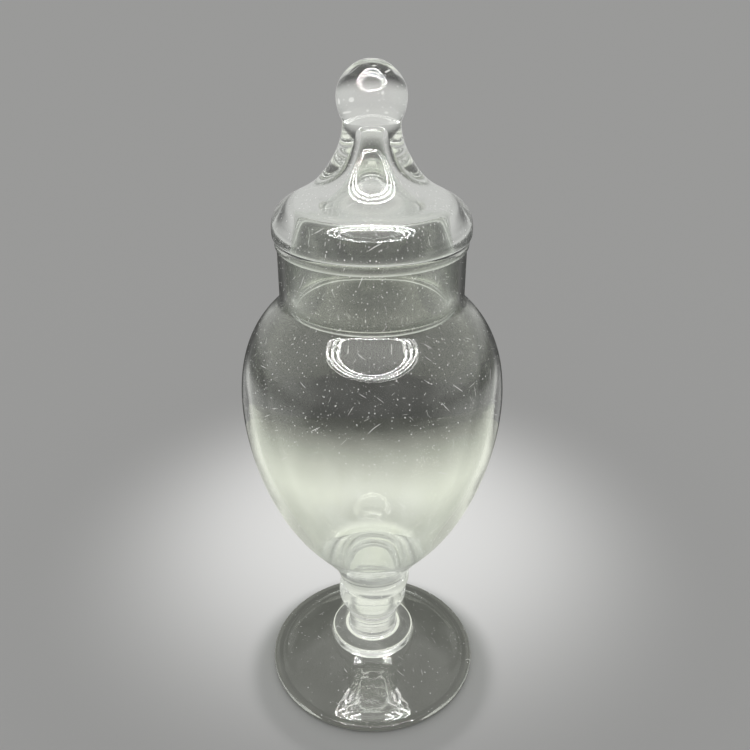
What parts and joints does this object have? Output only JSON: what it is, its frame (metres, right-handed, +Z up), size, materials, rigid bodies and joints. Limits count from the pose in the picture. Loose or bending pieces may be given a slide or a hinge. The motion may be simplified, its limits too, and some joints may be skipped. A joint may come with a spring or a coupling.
{
  "type": "footed jar",
  "caption": "Clear glass display jar: egg-shaped bowl with a short neck on a knopped stem and conical foot, closed by a drop-in lid with a ball finial.",
  "frame": {"origin": "centre of the foot's resting ring, on the jar's axis, at the level that the jar stands on", "axes": "+Z up along the jar's axis, from the foot to the finial; the bowl's boss is moved 0.9 mm towards +X"},
  "size_m": [0.0834, 0.0834, 0.2154],
  "materials": {
    "jar_glass": "clear, fire polished, faint green-yellow tint",
    "lid_glass": "clear, fire polished, faint green tint, thicker than the bowl"
  },
  "bodies": {
    "jar": {"foot": "jar_glass", "foot_collar": "jar_glass", "stem_pillar": "jar_glass", "stem_knop": "jar_glass", "bowl_boss": "jar_glass", "jar_bowl": "jar_glass", "mouth_bead": "jar_glass"},
    "lid": {"lid_plug_collar": "lid_glass", "lid_dome": "lid_glass", "lid_finial": "lid_glass"}
  },
  "joints": [
    {"name": "lid_lift", "type": "slide", "parent": "jar", "child": "lid", "axis": [0, 0, 1], "range_m": [0, 0.06]}
  ]
}
